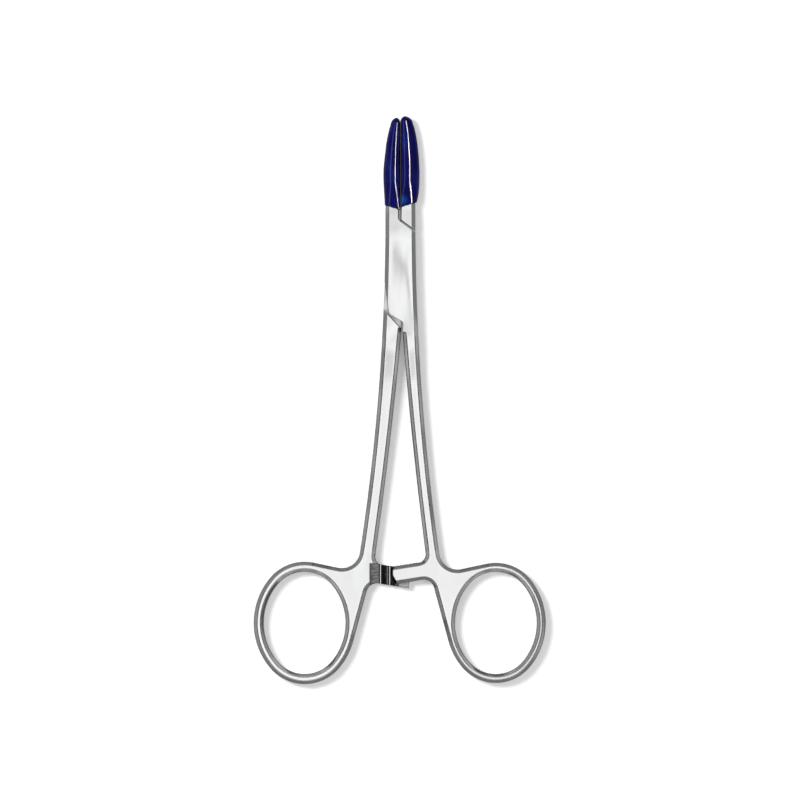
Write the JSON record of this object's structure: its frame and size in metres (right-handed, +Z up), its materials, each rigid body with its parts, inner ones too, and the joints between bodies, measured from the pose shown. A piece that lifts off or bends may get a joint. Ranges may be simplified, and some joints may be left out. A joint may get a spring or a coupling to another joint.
{
  "type": "mosquito forceps",
  "caption": "Slender surgical clamp with finger rings, a box lock, a sliding ratchet and vinyl-covered jaws.",
  "frame": {"origin": "on the lock pin's axis, at the underside of the box lock", "axes": "+Y along the forceps towards the jaw tips, +Z up from the face it lies on, +X to the box half's shank"},
  "size_m": [0.0658, 0.1279, 0.0048],
  "materials": {
    "steel": "polished",
    "vinyl": "gloss"
  },
  "bodies": {
    "box_side": {"box_half": "steel", "lock_pin": "steel", "left_jaw_sleeve": "vinyl"},
    "tongue_side": {"tongue_half": "steel", "right_jaw_sleeve": "vinyl"}
  },
  "joints": [
    {"name": "box_lock", "type": "hinge", "parent": "box_side", "child": "tongue_side", "pos_m": [0, 0, 0.0024], "axis": [0, 0, -1], "range_deg": [0, 50]}
  ]
}
